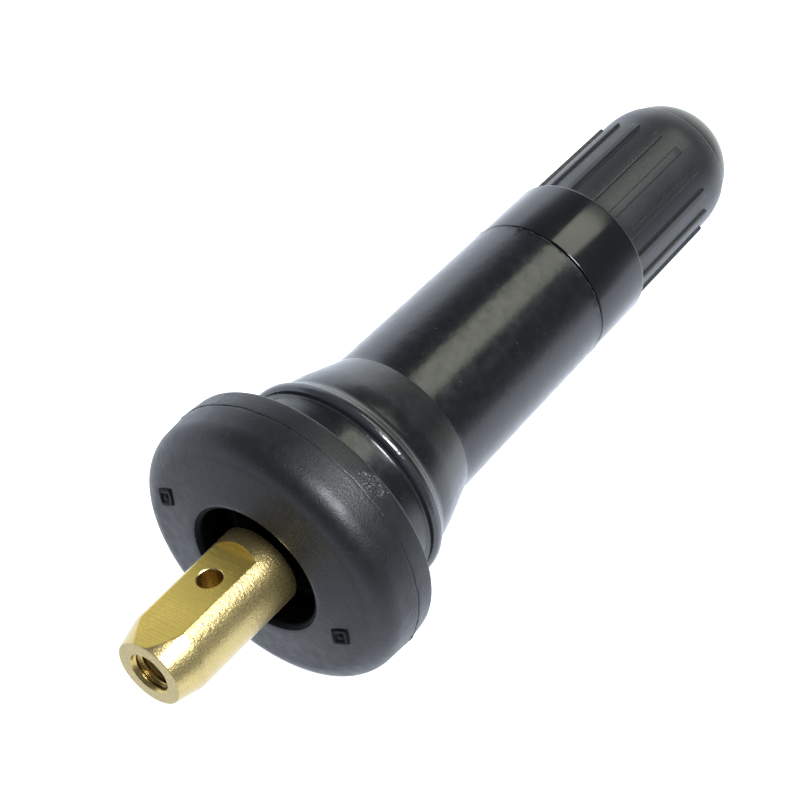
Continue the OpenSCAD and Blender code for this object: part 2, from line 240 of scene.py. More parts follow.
def finish_where(piece, finish, inside):
    """Gives a finish to the faces whose middles, in millimetres, the test inside(middles) accepts."""
    mesh = piece.data
    mesh.materials.append(finish)
    middles = np.empty(len(mesh.polygons) * 3)
    mesh.polygons.foreach_get("center", middles)
    chosen = np.empty(len(mesh.polygons), np.int32)
    mesh.polygons.foreach_get("material_index", chosen)
    region = inside(middles.reshape(-1, 3) / MM)
    chosen[region] = len(mesh.materials) - 1
    mesh.polygons.foreach_set("material_index", chosen)
    print(f"{piece.name}: {finish.name} on {region.sum()} faces")


def off_axis(place):
    """Distance of points from the valve's axis."""
    return np.hypot(place[:, 1], place[:, 2])


# %% [markdown]
# ## Finishes
# Each finish is a Principled shader with a few noise patterns in object space, so that a pattern keeps
# its size in millimetres on every piece. A pattern that changes the colour, the roughness and the
# height of a surface together looks like a material; a single colour looks like paint.

# %% Shader helpers


def new_finish(name, **sockets):
    """A material whose Principled shader has the named sockets set, as (material, tree, shader)."""
    material = bpy.data.materials.new(name)
    material.use_nodes = True
    shader = material.node_tree.nodes["Principled BSDF"]
    for socket, value in sockets.items():
        shader.inputs[socket.replace("_", " ")].default_value = value
    return material, material.node_tree, shader


def pattern(tree, size_mm, detail=2.0, stretch=(1, 1, 1)):
    """Noise in object space with spots of about size_mm, drawn out along an axis by stretch."""
    place = tree.nodes.new("ShaderNodeTexCoord")
    fit = tree.nodes.new("ShaderNodeMapping")
    fit.inputs["Scale"].default_value = [1 / (size_mm * MM * s) for s in stretch]
    noise = tree.nodes.new("ShaderNodeTexNoise")
    noise.inputs["Scale"].default_value = 1.0
    noise.inputs["Detail"].default_value = detail
    tree.links.new(place.outputs["Object"], fit.inputs["Vector"])
    tree.links.new(fit.outputs["Vector"], noise.inputs["Vector"])
    return noise.outputs["Fac"]


def remap(tree, value, low, high, to_low, to_high):
    """A value carried from one range to another, held at the ends."""
    scale = tree.nodes.new("ShaderNodeMapRange")
    for socket, number in zip(("From Min", "From Max", "To Min", "To Max"), (low, high, to_low, to_high)):
        scale.inputs[socket].default_value = number
    tree.links.new(value, scale.inputs["Value"])
    return scale.outputs["Result"]


def mixed(tree, share, first, second):
    """A blend of two colours by a share; each colour may be a socket or a constant."""
    mix = tree.nodes.new("ShaderNodeMix")
    mix.data_type = "RGBA"
    ends = [socket for socket in mix.inputs if socket.name in ("A", "B") and socket.type == "RGBA"]
    tree.links.new(share, mix.inputs["Factor"])
    for socket, given in zip(ends, (first, second)):
        if isinstance(given, bpy.types.NodeSocket):
            tree.links.new(given, socket)
        else:
            socket.default_value = given
    return next(socket for socket in mix.outputs if socket.type == "RGBA")


def raise_surface(tree, shader, heights):
    """Bump from (height, depth in mm) pairs, one on top of the other."""
    normal = None
    for height, depth_mm in heights:
        bump = tree.nodes.new("ShaderNodeBump")
        bump.inputs["Distance"].default_value = depth_mm * MM
        tree.links.new(height, bump.inputs["Height"])
        if normal is not None:
            tree.links.new(normal, bump.inputs["Normal"])
        normal = bump.outputs["Normal"]
    tree.links.new(normal, shader.inputs["Normal"])


# %% [markdown]
# Two small jobs come back in the finishes: a colour made darker or lighter, and a gloss that wanders
# with a noise. Most of Blender's noise lies between 0.3 and 0.7, so that is the range that is used.

# %% Shade and gloss
NOISE_LOW, NOISE_HIGH = 0.3, 0.7


def shade(colour, share):
    """A colour times a share, as the four numbers that a socket takes."""
    return [part * share for part in colour[:3]] + [1]


def vary_gloss(tree, shader, noise, rough, spread):
    """Roughness that goes from rough - spread to rough + spread as the noise goes from low to high."""
    wander = remap(tree, noise, NOISE_LOW, NOISE_HIGH, rough - spread, rough + spread)
    tree.links.new(wander, shader.inputs["Roughness"])


# %% [markdown]
# Moulded rubber is nearly black and satin. The barrel came out of a polished mould, and its gloss is a
# little cloudy. The collar is glossier still, and paler: painted light that lifts the shade along its front
# edge. The head has a duller skin with a fine grain, and a streak of torn specks where its flash was
# scuffed, whose pale tone is partly painted glints. A few pale specks of dust lie on all of them. The
# narrow recess is painted shade: a blacker tone and a weaker mirror stand for the little light that comes
# back out of it. Each is a finish of its own, because the strength of the mirror is one number for a
# whole shader.

# %% Scuffed streak on the head, with painted glints
SCUFF_AT = Vector((-2.25, -7.29, 6.34))
SCUFF_WAY = Vector((0.25, -0.69, -0.69))
SCUFF_HALF = Vector((1.7, 0.75, 0.75))
SCUFF_FADE = 0.7
SCUFF_SPECKS = 9.0


def scuff_glints(tree):
    """Torn specks along a streak, paler partly as painted glints: places are measured in the streak's half
    length and half widths, and a noise in them is multiplied by a share that falls to 0 at the streak's ends
    and sides."""
    place = tree.nodes.new("ShaderNodeTexCoord")
    fit = tree.nodes.new("ShaderNodeMapping")
    fit.vector_type = "TEXTURE"
    fit.inputs["Location"].default_value = SCUFF_AT * MM
    fit.inputs["Rotation"].default_value = SCUFF_WAY.to_track_quat("X", "Z").to_euler()
    fit.inputs["Scale"].default_value = SCUFF_HALF * MM
    away = tree.nodes.new("ShaderNodeVectorMath")
    away.operation = "LENGTH"
    noise = tree.nodes.new("ShaderNodeTexNoise")
    noise.inputs["Scale"].default_value = SCUFF_SPECKS
    noise.inputs["Detail"].default_value = 2.0
    tree.links.new(place.outputs["Object"], fit.inputs["Vector"])
    tree.links.new(fit.outputs["Vector"], away.inputs[0])
    tree.links.new(fit.outputs["Vector"], noise.inputs["Vector"])
    specks = tree.nodes.new("ShaderNodeMath")
    specks.operation = "MULTIPLY"
    tree.links.new(remap(tree, away.outputs["Value"], SCUFF_FADE, 1, 1, 0), specks.inputs[0])
    tree.links.new(noise.outputs["Fac"], specks.inputs[1])
    return specks.outputs["Value"]


# %% Rubber finishes
RUBBER_BLACK = (1.0, 1.03, 1.15)
RUBBER_CLOUDS, RUBBER_SPREAD = 0.7, 0.05
DUST_TONE, DUST_SPOT, DUST_SHARE = (0.08, 0.08, 0.08, 1), 0.22, 0.25
DUST_FROM, DUST_FULL = 0.74, 0.8
# The torn specks are torn flash, and their pale tone is partly painted glints of the light that caught it.
TORN_GLINT_TONE, TORN_RISE = (0.11, 0.11, 0.12, 1), 0.03
TORN_FROM, TORN_FULL = 0.56, 0.66


def rubber_finish(name, tone, rough, reliefs, scuffed=False, **sockets):
    """Black rubber: clouds that vary its gloss, reliefs of (spot, depth) in mm in its height, and dust."""
    material, tree, shader = new_finish(name, **sockets)
    dust = remap(tree, pattern(tree, DUST_SPOT, 1), DUST_FROM, DUST_FULL, 0, DUST_SHARE)
    colour = mixed(tree, dust, shade(RUBBER_BLACK, tone), DUST_TONE)
    vary_gloss(tree, shader, pattern(tree, RUBBER_CLOUDS, 3), rough, RUBBER_SPREAD)
    heights = [(pattern(tree, spot), depth) for spot, depth in reliefs]
    if scuffed:
        torn_glints = scuff_glints(tree)
        colour = mixed(tree, remap(tree, torn_glints, TORN_FROM, TORN_FULL, 0, 1), colour, TORN_GLINT_TONE)
        heights.append((torn_glints, TORN_RISE))
    tree.links.new(colour, shader.inputs["Base Color"])
    raise_surface(tree, shader, heights)
    return material


BARREL_RUBBER = rubber_finish("barrel_rubber", tone=0.0028, rough=0.24, Specular_IOR_Level=0.55,
                              reliefs=[(1.2, 0.014), (0.35, 0.005), (0.12, 0.002)])
# The collar's paler tone is painted light, which lifts the shade along its front edge.
LIT_COLLAR_RUBBER = rubber_finish("lit_collar_rubber", tone=0.016, rough=0.17, Specular_IOR_Level=0.6,
                              reliefs=[(0.5, 0.012), (0.15, 0.004)])
HEAD_RUBBER = rubber_finish("head_rubber", tone=0.0055, rough=0.42, Specular_IOR_Level=0.35, scuffed=True,
                            reliefs=[(1.6, 0.007), (0.2, 0.013), (0.1, 0.005)])
# The recess finish is painted shade: a blacker tone and a weak mirror for the walls of the narrow recess.
RECESS_SHADE_RUBBER = rubber_finish("recess_shade_rubber", tone=0.0008, rough=0.5, IOR=1.1, reliefs=[(0.4, 0.008)])
MARK_RUBBER = rubber_finish("mark_rubber", tone=0.001, rough=0.4, IOR=1.12, reliefs=[(0.2, 0.01)])
rubbers = (BARREL_RUBBER, LIT_COLLAR_RUBBER, HEAD_RUBBER, RECESS_SHADE_RUBBER, MARK_RUBBER)
print("finishes:", *(finish.name for finish in rubbers))

# %% [markdown]
# The cap is a satin black plastic. Its skirt is the smoothest surface of the valve, its dome is a little
# duller, and its grip has the grain of a dull mould.

# %% Plastic finishes
PLASTIC_BLACK = (1.0, 1.025, 1.125)
PLASTIC_CLOUDS, PLASTIC_UNEVEN, PLASTIC_SPREAD = 1.8, 0.008, 0.03
PLASTIC_GRAIN, GRAIN_DARK, GRAIN_PALE = 0.10, 0.8, 1.2


def plastic_finish(name, tone, rough, shine, grain_depth):
    """Black plastic with a cloudy gloss and a mould grain that is paler where it stands up."""
    material, tree, shader = new_finish(name, Specular_IOR_Level=shine)
    clouds = pattern(tree, PLASTIC_CLOUDS, 3)
    grain = pattern(tree, PLASTIC_GRAIN)
    low = shade(PLASTIC_BLACK, tone * GRAIN_DARK)
    high = shade(PLASTIC_BLACK, tone * GRAIN_PALE)
    tree.links.new(mixed(tree, grain, low, high), shader.inputs["Base Color"])
    vary_gloss(tree, shader, clouds, rough, PLASTIC_SPREAD)
    raise_surface(tree, shader, [(clouds, PLASTIC_UNEVEN), (grain, grain_depth)])
    return material


SKIRT_PLASTIC = plastic_finish("skirt_plastic", tone=0.003, rough=0.17, shine=0.5, grain_depth=0.001)
GRIP_PLASTIC = plastic_finish("grip_plastic", tone=0.007, rough=0.37, shine=0.55, grain_depth=0.014)
DOME_PLASTIC = plastic_finish("dome_plastic", tone=0.008, rough=0.28, shine=0.42, grain_depth=0.004)
print("finishes:", SKIRT_PLASTIC.name, GRIP_PLASTIC.name, DOME_PLASTIC.name)

# %% [markdown]
# Three small things inside the valve have finishes too: the red ring of the core, the black washers, and
# the drawn wire of the spring.

# %% Seal and spring finishes
MOTTLE_SPOT, MOTTLE_RISE, MOTTLE_SPREAD, MOTTLE_DARK = 0.5, 0.004, 0.06, 0.6
WIRE_DARK, WIRE_PALE = (0.42, 0.43, 0.45, 1), (0.66, 0.67, 0.69, 1)
WIRE_LINES, WIRE_RISE, WIRE_ROUGH, WIRE_SPREAD = 0.05, 0.001, 0.27, 0.07


def seal_finish(name, colour, rough):
    """Smooth rubber of one colour with a faint mottle."""
    material, tree, shader = new_finish(name, Specular_IOR_Level=0.4)
    mottle = pattern(tree, MOTTLE_SPOT, 3)
    tree.links.new(mixed(tree, mottle, shade(colour, MOTTLE_DARK), colour), shader.inputs["Base Color"])
    vary_gloss(tree, shader, mottle, rough, MOTTLE_SPREAD)
    raise_surface(tree, shader, [(mottle, MOTTLE_RISE)])
    return material


def wire_finish(name):
    """Drawn steel wire with fine lines."""
    material, tree, shader = new_finish(name, Metallic=1.0)
    lines = pattern(tree, WIRE_LINES)
    tree.links.new(mixed(tree, lines, WIRE_DARK, WIRE_PALE), shader.inputs["Base Color"])
    vary_gloss(tree, shader, lines, WIRE_ROUGH, WIRE_SPREAD)
    raise_surface(tree, shader, [(lines, WIRE_RISE)])
    return material


RED_SEAL = seal_finish("red_ring_rubber", (0.42, 0.05, 0.035, 1), rough=0.4)
BLACK_SEAL = seal_finish("washer_rubber", (0.03, 0.03, 0.032, 1), rough=0.55)
SPRING_WIRE = wire_finish("spring_wire")
print("finishes:", RED_SEAL.name, BLACK_SEAL.name, SPRING_WIRE.name)

# %% [markdown]
# ## The rubber moulding
# The rubber was moulded round the brass in two halves, and a ragged fin of flash stands where the halves
# met: round the widest part of the head, and round the end of the barrel. The profile is closed on
# itself, from the recess over the outside and back along the brass, so the piece is a ring without
# poles. The flash is a sum of cosines with whole numbers of waves, so it closes after a turn.

# %% Sizes of the rubber


def reach(node):
    """First and last station of a node along X and its largest radius, in millimetres."""
    low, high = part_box(node)
    return low.x / MM, high.x / MM, high.y / MM


def stations(node):
    """First and last station of a node along X, to a thousandth of a millimetre."""
    return [round(station, 3) for station in reach(node)[:2]]


head_lip, rubber_end, head_r = reach("rubber_body")
RECESS_FLOOR, RECESS_R = -3.6, 4.4
FACE_FROM = RECESS_R + 0.6
FRONT_ROUND, FRONT_BACK, FRONT_DRAFT = 1.85, 3.0, 0.08
PARTING = -3.1
BACK_DRAFT = 0.14
SEAT_HALF, SEAT_R = 1.5, 7.0
COLLAR_BACK, COLLAR_R = 2.25, 7.5
BELL_FOOT, BELL_FOOT_R = 2.85, 6.88
BELL_MID, BELL_ROUND, BELL_FALL = (2.3, -1.1), 8.0, 18.3
BELL_END, BARREL_R, BARREL_END_R = 7.27, 5.60, 5.36
SHANK_R = 3.2
FLANGE_FRONT, FLANGE_BACK, FLANGE_SEAT_R = -2.7, -1.8, 4.7
THREAD_R, THREAD_IN = 3.8, 1.5
thread_foot = rubber_end - THREAD_IN
print(f"rubber from {head_lip:.2f} to {rubber_end:.2f} mm, head radius {head_r:.2f} mm")

# %% [markdown]
# At the parting line the two halves of the mould didn't quite meet. Its rows are given as steps along X
# from the line and as a rise over the head's radius: a narrow slit, then a ledge.

# %% Rubber profile
PARTING_ROWS = ((-0.30, -0.02), (-0.10, -0.025), (-0.05, -0.04), (-0.025, -0.075), (-0.005, -0.075),
                (0.012, -0.02), (0.03, 0.0), (0.08, 0.0), (0.18, -0.003))
ROW_STEP = 0.45


def rubber_profile():
    """Recess, head, groove, collar, bell and barrel, then back inside along the brass."""
    recess = soften([(RECESS_FLOOR, SHANK_R, 0), (RECESS_FLOOR, RECESS_R, 0.5), (head_lip, RECESS_R, 0.42),
                     (head_lip, FACE_FROM, 0)], 8)
    front = arc((-SEAT_HALF - FRONT_BACK, head_r - FRONT_DRAFT - FRONT_ROUND), FRONT_ROUND, 175, 90, 18)
    seam = [(PARTING + step, head_r + rise) for step, rise in PARTING_ROWS]
    bell = arc(BELL_MID, BELL_ROUND, 90, 90 - BELL_FALL, 10)
    back = soften([(PARTING + 0.3, head_r - 0.01, 0), (-SEAT_HALF, head_r - BACK_DRAFT, 0.3),
                   (-SEAT_HALF, SEAT_R, 0.25), (SEAT_HALF, SEAT_R, 0.25), (SEAT_HALF, COLLAR_R, 0.38),
                   (COLLAR_BACK, COLLAR_R, 0.8), (BELL_FOOT, BELL_FOOT_R, 1.2), (*bell[4], 0)], 6)
    bell_end_r = bell[-1][1] - (BELL_END - bell[-1][0]) * math.tan(math.radians(BELL_FALL))
    barrel = soften([(BELL_END, bell_end_r, 0), (BELL_END, BARREL_R, 0.03),
                     (rubber_end, BARREL_END_R, 0.15), (rubber_end, THREAD_R, 0)], 5)
    inside = [(thread_foot, THREAD_R), (thread_foot, SHANK_R), (FLANGE_BACK, SHANK_R),
              (FLANGE_BACK, FLANGE_SEAT_R), (FLANGE_FRONT, FLANGE_SEAT_R), (FLANGE_FRONT, SHANK_R)]
    outside = np.vstack([recess, front, seam, back, bell[5:], barrel])
    return np.vstack([divide(outside, ROW_STEP), inside])


def uneven(angle, seed, fewest, most, waves=36):
    """An uneven edge round the axis: a sum of cosines with whole numbers of waves in a turn, whose sizes and
    starts are left to chance."""
    chance = np.random.default_rng(seed)
    counts = chance.integers(fewest, most, waves)[:, None]
    starts = chance.uniform(0, 2 * np.pi, waves)[:, None]
    sizes = chance.uniform(0.4, 1.0, waves)[:, None]
    return (sizes * np.cos(counts * angle[None] + starts)).sum(0) / np.sqrt((sizes ** 2).sum() / 2)


# %% Flash on the rubber's grid
RUBBER_COLUMNS = 540
SEAM_HALF, SEAM_WANDER, SEAM_SHAKE = 0.09, 0.018, 0.006
SEAM_SHUT_AT, SEAM_SHUT = 140, 0.12
LEDGE_FIN = 0.03
# The flake's width is in radians.
FLAKE_TURN, FLAKE_OUT, FLAKE_WIDE = 212, 0.06, 0.02
END_BACK, END_HALF, END_LEAST_R = 0.08, 0.12, 5.1
END_FIN, END_RAGGED = 0.035, 0.026

angle = even_turn(RUBBER_COLUMNS)
profile = rubber_profile()
station = np.repeat(profile[:, :1], RUBBER_COLUMNS, axis=1)
radius = np.repeat(profile[:, 1:], RUBBER_COLUMNS, axis=1)
at_seam = np.clip(2 - np.abs(station - PARTING) / SEAM_HALF, 0, 1) * (radius > COLLAR_R)
open_seam = SEAM_SHUT + (1 - SEAM_SHUT) * np.sin(angle - math.radians(SEAM_SHUT_AT)) ** 2
radius = np.where(at_seam > 0, head_r + (radius - head_r) * open_seam, radius)
station += at_seam * (SEAM_WANDER * uneven(angle, 4, 4, 30) + SEAM_SHAKE * uneven(angle, 8, 60, 200))
on_ledge = at_seam * (station > PARTING)
radius += on_ledge * LEDGE_FIN * np.clip(uneven(angle, 3, 20, 120) - 0.6, 0, 1.5) * open_seam
radius += on_ledge * FLAKE_OUT * np.exp(-((angle - math.radians(FLAKE_TURN)) / FLAKE_WIDE) ** 2)
on_end = np.clip(1 - np.abs(station - rubber_end + END_BACK) / END_HALF, 0, 1) * (radius > END_LEAST_R)
radius += on_end * (END_FIN + END_RAGGED * np.clip(0.2 + 0.7 * uneven(angle, 5, 5, 45), 0, 1.6))
points = spin_grid(station, radius, angle[None])
print("rubber grid:", points.shape[:2])

# %% Rubber piece


def on_the_head(place):
    """True in front of the rim groove."""
    return place[:, 0] < 0.04 - SEAT_HALF


def on_the_collar(place):
    """True on the collar's front edge and on its outside."""
    along = (place[:, 0] > SEAT_HALF - 0.1) & (place[:, 0] < COLLAR_BACK - 0.25)
    return along & (off_axis(place) > SEAT_R + 0.05)


def in_the_recess(place):
    """True inside the recess, up to its rounded lip."""
    return (off_axis(place) < RECESS_R + 0.3) & (place[:, 0] < -SEAT_HALF)


rubber = make_piece("rubber_moulding", points, grid_faces(numbered(points), close_rows=True),
                    "valve", BARREL_RUBBER, ["rubber_body"], crease=28)
finish_where(rubber, HEAD_RUBBER, on_the_head)
# Painted light: the collar's front edge and outside take the paler finish.
finish_where(rubber, LIT_COLLAR_RUBBER, on_the_collar)
# Painted shade: the recess walls take the blacker finish.
finish_where(rubber, RECESS_SHADE_RUBBER, in_the_recess)

# %% [markdown]
# Two small diamonds are moulded on the head's face: a raised frame with a dot in it. Here the path is a
# diamond and the profile is the mark's height, so one grid makes frame, floor and dot, and closes in a
# pole on both sides.

# %% Diamond marks on the head
MARKS = ((7.2, 24), (6.6, 208))
MARK_OUT, MARK_ACROSS, MARK_TILT = 0.74, 1.18, 10
MARK_COLUMNS = 64
MARK_RINGS = np.array([(0, 0.08), (0.14, 0.08), (0.22, 0.05), (0.26, 0.015), (0.46, 0.015), (0.52, 0.06),
                       (0.57, 0.09), (0.86, 0.09), (0.94, 0.06), (1.0, 0.0), (1.03, -0.08), (0, -0.08)])
DOT_SHARE, DOT_POWER, FRAME_POWER = 0.3, 2.0, 1.12
LEVEL_R, FACE_SLOPE = RECESS_R + 0.4, 0.0987


def diamond_mark(at_r, turn):
    """Rings of (share, height) from the dot to the frame's edge, raised from the head's sloping face. A
    ring is the curve on which |cos| and |sin| to a power add up to 1: a circle at 2, near 1 a diamond."""
    share, height = MARK_RINGS[:, :1], MARK_RINGS[:, 1:]
    around = even_turn(MARK_COLUMNS)
    power = np.where(share < DOT_SHARE, DOT_POWER, FRAME_POWER)
    edge = (np.abs(np.cos(around)) ** power + np.abs(np.sin(around)) ** power) ** (-1 / power)
    short = MARK_OUT * share * edge * np.cos(around)
    long = MARK_ACROSS * share * edge * np.sin(around)
    tilt = math.radians(turn + MARK_TILT)
    y = at_r * math.cos(math.radians(turn)) + short * math.cos(tilt) - long * math.sin(tilt)
    z = at_r * math.sin(math.radians(turn)) + short * math.sin(tilt) + long * math.cos(tilt)
    face = head_lip + (np.hypot(y, z) - LEVEL_R) * FACE_SLOPE
    return np.stack([face - height, y, z], axis=-1)


for number, (at_r, turn) in enumerate(MARKS, 1):
    points = diamond_mark(at_r, turn)
    make_piece(f"head_mark_{number}", points, grid_faces(numbered(points)), "valve", MARK_RUBBER,
               crease=50)

# %% [markdown]
# ## The brass stem
# The stem is turned in one piece, so it is one grid from the bottom of the sensor's screw hole, over the
# sensor end, through the rubber, up the cap thread and down into the bore for the valve core. Two things
# aren't round. The flats cap the radius at flat / |sin(angle)|, with columns that crowd at the flats'
# edges, where a soft minimum of both radii breaks the edge. The cutter rounds the flats' ends: there the
# rows are drawn back along a circle. The threads add a wave that moves on by one pitch in each turn.

# %% Stem values
sensor_end, mouth, flange_r = reach("stem")
SENSOR_R, TIP_R, TAPER_LEN = 2.79, 2.31, 1.9
FLAT_Z, FLATS_END, CUTTER_R = 2.29, -7.38, 4.0
EDGE_SOFT = 0.012
CROSS_X, CROSS_R = -10.1, 0.8
SCREW_R, SCREW_PITCH, SCREW_ROOT = 1.25, 0.5, 0.24
SCREW_DEPTH, SCREW_POINT = 4.6, 0.42
SCREW_MOUTH, SCREW_MOUTH_R = 0.2, 1.45
RELIEF_IN, RELIEF_R = 0.55, 2.2
CAP_PITCH, CAP_ROOT = 25.4 / 32, 0.42
MOUTH_CHAMFER = 0.6
CORE_R = 2.6
CHAMBER_R, CHAMBER_FLOOR = 1.95, 14.9
PASSAGE_R = 1.0

cone_foot = stations("barrel_seal")[0]
cone_top = stations("core_plug")[0]
screw_foot = sensor_end + SCREW_DEPTH
screw_mouth = sensor_end + SCREW_MOUTH
relief_from = head_lip + RELIEF_IN
thread_top = mouth - MOUTH_CHAMFER
passage_end = CROSS_X + CROSS_R
print(f"stem from {sensor_end:.2f} to {mouth:.2f} mm")

# %% Waves of a thread


def thread_wave(station, angle, pitch):
    """A wave from 0 at the crest to 1 in the root, which moves on by one pitch in each right-hand turn."""
    return 0.5 - 0.5 * np.cos(2 * np.pi * (station / pitch - angle / (2 * np.pi)))


def fade(station, start, stop, length):
    """1 between two stations, falling to 0 over a length inside each end."""
    return np.clip((station - start) / length, 0, 1) * np.clip((stop - station) / length, 0, 1)


# %% [markdown]
# The brass is turned, then two flats are milled on it. The tool leaves fine rings round the turned
# surfaces and fine lines across the flats. The metal is a little dull and grainy from handling, so its
# roughness wanders. Holes get a browner brass, painted shade for the light that bounces and is lost in them.

# %% Brass finishes
STAIN_SPOT, STAIN_DARK = 1.8, 0.86
STAIN_FROM, STAIN_FULL = 0.3, 0.75
WAVE_SPOT, RING_SPOT, GRAIN_SPOT = 0.2, 0.13, 0.08
RING_STRETCH = (1, 60, 60)
PIT_FROM, PIT_FULL = 0.36, 0.56
BRASS_SPREAD = 0.05


def brass_finish(name, colour, dull, depths, pit_tone=0.85, metal=1.0):
    """Brass with a stain and pits, raised by waves, tool rings along X and a grain, of depths in mm."""
    material, tree, shader = new_finish(name, Metallic=metal)
    stain = pattern(tree, STAIN_SPOT, 3)
    waves = pattern(tree, WAVE_SPOT)
    grain = pattern(tree, GRAIN_SPOT)
    rings = pattern(tree, RING_SPOT, 1, stretch=RING_STRETCH)
    clean = remap(tree, stain, STAIN_FROM, STAIN_FULL, 0, 1)
    stained = mixed(tree, clean, shade(colour, STAIN_DARK), colour)
    raised = remap(tree, grain, PIT_FROM, PIT_FULL, 0, 1)
    pitted = mixed(tree, raised, shade(colour, pit_tone), stained)
    tree.links.new(pitted, shader.inputs["Base Color"])
    vary_gloss(tree, shader, grain, dull, BRASS_SPREAD)
    raise_surface(tree, shader, list(zip((waves, rings, grain), depths)))
    return material


TURNED_BRASS = brass_finish("turned_brass", (0.56, 0.438, 0.185, 1), dull=0.31, pit_tone=0.74, metal=0.92,
                            depths=(0.019, 0.002, 0.008))
MILLED_BRASS = brass_finish("milled_brass", (0.88, 0.643, 0.15, 1), dull=0.42, depths=(0.004, 0.017, 0.004))
# The hole finish is painted shade: a browner brass inside the screw hole and the cross hole.
HOLE_SHADE_BRASS = brass_finish("hole_shade_brass", (0.55, 0.40, 0.14, 1), dull=0.28, depths=(0.002, 0.001, 0.001))
CORE_BRASS = brass_finish("bright_brass", (0.78, 0.62, 0.30, 1), dull=0.22, depths=(0.002, 0.001, 0.001))
print("finishes:", TURNED_BRASS.name, MILLED_BRASS.name, HOLE_SHADE_BRASS.name, CORE_BRASS.name)

# %% [markdown]
# The profile comes in five runs, so that a flat or a thread can be given to one of them alone: the screw
# hole, the sensor end with its flats, the shank, the cap thread, and the bore for the core. The point of
# a drill leaves a cone where the core's chamber narrows to the air passage.

# %% Stem profile in five runs
ROWS_IN_PITCH = 8
TIP_STEP = 0.1

hole = soften([(screw_foot + SCREW_POINT, 0, 0), (screw_foot, SCREW_R, 0), (screw_mouth, SCREW_R, 0)])
hole = divide(hole, SCREW_PITCH / ROWS_IN_PITCH)
tip = soften([(screw_mouth, SCREW_R, 0), (sensor_end, SCREW_MOUTH_R, 0.03), (sensor_end, TIP_R, 0.07),
              (sensor_end + TAPER_LEN, SENSOR_R, 1.2), (FLATS_END, SENSOR_R, 0)], 8)[1:]
tip = divide(tip, TIP_STEP)
shank = soften([(FLATS_END, SENSOR_R, 0), (relief_from, SENSOR_R, 0.06), (relief_from, RELIEF_R, 0.1),
                (RECESS_FLOOR, RELIEF_R, 0.15), (RECESS_FLOOR, SHANK_R, 0), (FLANGE_FRONT, SHANK_R, 0),
                (FLANGE_FRONT, flange_r, 0), (FLANGE_BACK, flange_r, 0), (FLANGE_BACK, SHANK_R, 0),
                (thread_foot, SHANK_R, 0), (thread_foot, THREAD_R, 0), (rubber_end, THREAD_R, 0)])
cap_thread = np.array([(rubber_end, THREAD_R), (thread_top, THREAD_R)])
cap_thread = divide(cap_thread, CAP_PITCH / ROWS_IN_PITCH)[1:]
bore = soften([(thread_top, THREAD_R, 0), (mouth, THREAD_R - MOUTH_CHAMFER, 0.1), (mouth, CORE_R, 0.12),
               (cone_top, CORE_R, 0), (cone_foot, CHAMBER_R, 0), (CHAMBER_FLOOR, CHAMBER_R, 0),
               (CHAMBER_FLOOR - CHAMBER_R + PASSAGE_R, PASSAGE_R, 0), (passage_end + 0.3, PASSAGE_R, 0),
               (passage_end, 0, 0)])[1:]
runs = [hole, tip, shank, cap_thread, bore]
HOLE_RUN, TIP_RUN, SHANK_RUN, THREAD_RUN = 0, 1, 2, 3
profile = np.vstack(runs)
run = np.repeat(np.arange(len(runs)), [len(r) for r in runs])[:, None]
print("stem rows:", len(profile))

# %% Stem columns that follow the flats
ROUND_COLUMNS, FLAT_COLUMNS = 56, 36
# Where a row is too thin for a flat, its columns still leave this half turn for one.
LEAST_HALF = 7
FLAT_LEAST_R = 1.5


def flat_columns(half):
    """Angles of the columns of each row, close together at the edges of the flats, which take half on each
    side of +Z and of -Z."""
    side = 0.5 - 0.5 * np.cos(np.linspace(0, np.pi, ROUND_COLUMNS, endpoint=False))
    flat = 0.5 - 0.5 * np.cos(np.linspace(0, np.pi, FLAT_COLUMNS, endpoint=False))
    quarter = np.pi / 2
    lower_side = -quarter + half + (np.pi - 2 * half) * side
    upper_flat = quarter - half + 2 * half * flat
    return np.hstack([lower_side, upper_flat, lower_side + np.pi, upper_flat + np.pi])


widest = math.acos(FLAT_Z / SENSOR_R)
level = np.minimum(1, FLAT_Z / np.maximum(profile[:, 1:], FLAT_Z))
on_tip = (run == TIP_RUN) & (profile[:, 1:] > FLAT_LEAST_R)
half = np.where(on_tip, np.maximum(np.arccos(level), math.radians(LEAST_HALF)), widest)
angle = flat_columns(half)
station = np.repeat(profile[:, :1], angle.shape[1], axis=1)
radius = np.repeat(profile[:, 1:], angle.shape[1], axis=1)
print("flats take", round(math.degrees(widest), 1), "degrees on each side of Z")

# %% Flats and threads on the stem's grid
LEAST_SINE = 0.1
HOLE_FADE, THREAD_FADE = 0.25, 0.5

flat_cap = FLAT_Z / np.maximum(np.abs(np.sin(angle)), LEAST_SINE)
nearer = np.minimum(radius, flat_cap)
broken = nearer - EDGE_SOFT * np.log1p(np.exp(-np.abs(radius - flat_cap) / EDGE_SOFT))
radius = np.where((run == TIP_RUN) & (radius > TIP_R - 0.02), broken, radius)
aside = np.minimum(np.abs(radius * np.cos(angle)), math.sqrt(SENSOR_R ** 2 - FLAT_Z ** 2))
near_end = np.clip(1 - np.abs(station - FLATS_END), 0, 1) * ((run == TIP_RUN) | (run == SHANK_RUN))
station -= near_end * (CUTTER_R - np.sqrt(CUTTER_R ** 2 - aside ** 2))
in_hole = (run == HOLE_RUN) * fade(station, sensor_end, screw_foot, HOLE_FADE)
radius += in_hole * SCREW_ROOT * thread_wave(station, angle, SCREW_PITCH)
in_thread = (run == THREAD_RUN) * fade(station, rubber_end + 0.3, mouth - 0.4, THREAD_FADE)
radius -= in_thread * CAP_ROOT * thread_wave(station, angle, CAP_PITCH)
stem_points = spin_grid(station, radius, angle)
print("stem grid:", stem_points.shape[:2])

